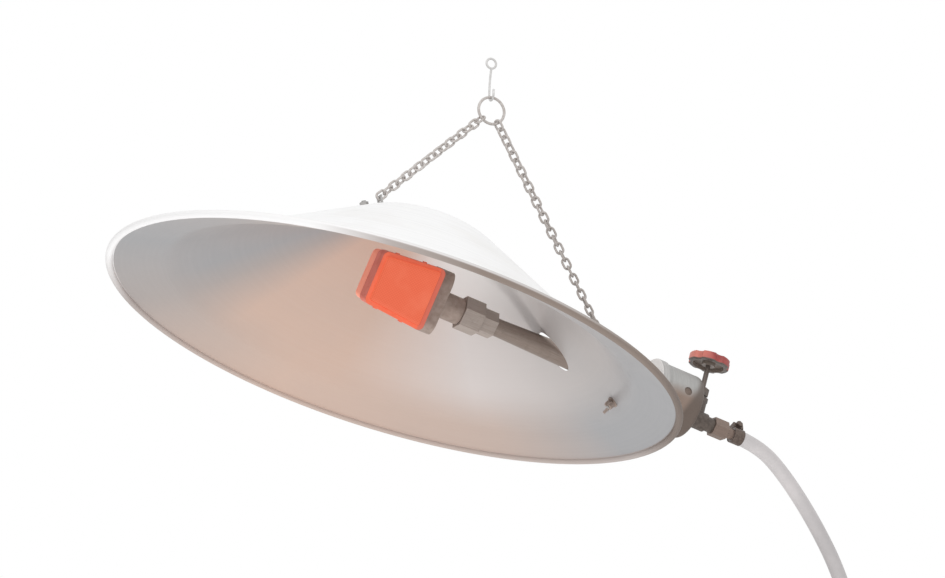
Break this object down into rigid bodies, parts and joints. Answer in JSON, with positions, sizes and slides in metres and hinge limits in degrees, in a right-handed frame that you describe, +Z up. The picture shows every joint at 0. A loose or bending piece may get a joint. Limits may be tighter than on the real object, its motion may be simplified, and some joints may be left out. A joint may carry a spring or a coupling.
{
  "type": "gas brooder",
  "caption": "Hanging gas brooder: tilted round reflector canopy with an infrared burner inside, mixing tube, air filter drum, hand valve, hose, and chains up to a ring and hook.",
  "frame": {"origin": "where the hook's top eye bears on whatever the brooder hangs from", "axes": "+Z up, +X level towards the filter, valve and hose, +Y to the side that the burner's face looks away from"},
  "size_m": [0.8334, 0.5998, 0.7608],
  "materials": {
    "reflector": "satin rolled sheet, white on the outside",
    "zinc": "zinc-plated pressed steel",
    "chain_zinc": "zinc-plated wire",
    "burner_casing": "pale heat-stained enamel",
    "burner_frame": "dark red heat-stained steel",
    "glowing_gauze": "red-hot woven wire",
    "plaque": "porous fired ceramic",
    "gasket": "pressed mineral fibre",
    "burner_iron": "dark casting",
    "fitting_steel": "plated turned steel",
    "tube_steel": "drawn steel tube",
    "drum": "grey pressed steel",
    "lid": "pale pressed steel",
    "foam": "open-cell foam",
    "valve_metal": "dark plated brass",
    "brass": "dull brass",
    "packing": "soft packing",
    "stem_steel": "bright turned steel",
    "red_plastic": "moulded red plastic",
    "hose": "pale grey hose",
    "tie": "black nylon strap"
  },
  "bodies": {
    "hook": {"hook": "chain_zinc"},
    "ring": {"hanging_ring": "chain_zinc"},
    "burner": {"burner_base": "burner_iron", "burner_casing": "burner_casing", "burner_baffle": "zinc", "burner_gasket": "gasket", "burner_plaque": "plaque", "burner_frame": "burner_frame", "burner_gauze": "glowing_gauze", "frame_screws": "fitting_steel"},
    "stem": {"valve_stem": "stem_steel"},
    "handwheel": {"handwheel": "red_plastic", "handwheel_nut": "stem_steel"},
    "inlet_nut": {"hose_end_nut": "brass"},
    "brooder": {"canopy": "reflector", "rear_lug": "zinc", "rear_lug_bolt": "zinc", "rear_lug_nut": "zinc", "front_bracket": "zinc", "bracket_bolt": "zinc", "bracket_washer": "zinc", "wing_nut": "zinc", "chain_rear": "chain_zinc", "chain_front": "chain_zinc", "union_nut": "fitting_steel", "adaptor": "fitting_steel", "mixing_tube": "tube_steel", "filter_drum": "drum", "filter_lid": "lid", "filter_element": "foam", "injector": "brass", "valve_body": "valve_metal", "bonnet": "valve_metal", "gland_nut": "valve_metal", "gland_packing": "packing", "hose_tail": "brass", "clamp_band": "zinc", "clamp_screw": "zinc", "hose": "hose", "hose_coil": "hose", "coil_tie": "tie", "hose_end_nipple": "brass"}
  },
  "joints": [
    {"name": "ring_swing", "type": "hinge", "parent": "hook", "child": "ring", "pos_m": [0, 0, -0.0455], "axis": [0, 1, 0], "range_deg": [-30, 30]},
    {"name": "canopy_swing", "type": "hinge", "parent": "ring", "child": "brooder", "pos_m": [-0.00203, 0, -0.06867], "axis": [0.9844, 0, -0.1759], "range_deg": [-12, 12]},
    {"name": "burner_turn", "type": "hinge", "parent": "brooder", "child": "burner", "pos_m": [-0.03574, 0, -0.27984], "axis": [0.9563, 0, -0.2924], "range_deg": [-21, 69]},
    {"name": "stem_lift", "type": "slide", "parent": "brooder", "child": "stem", "axis": [0.2924, 0, 0.9563], "range_m": [-0.00188, 0.00188]},
    {"name": "handwheel_turn", "type": "hinge", "parent": "stem", "child": "handwheel", "pos_m": [0.25693, 0, -0.30762], "axis": [0.2924, 0, 0.9563], "range_deg": [-540, 540]},
    {"name": "inlet_nut_spin", "type": "hinge", "parent": "brooder", "child": "inlet_nut", "pos_m": [0.27043, 0.03825, -0.74739], "axis": [-1, 0, 0], "continuous": true}
  ],
  "couplings": [
    {"joint": "stem_lift", "follows": "handwheel_turn", "m_per_rad": 0.00019894}
  ]
}
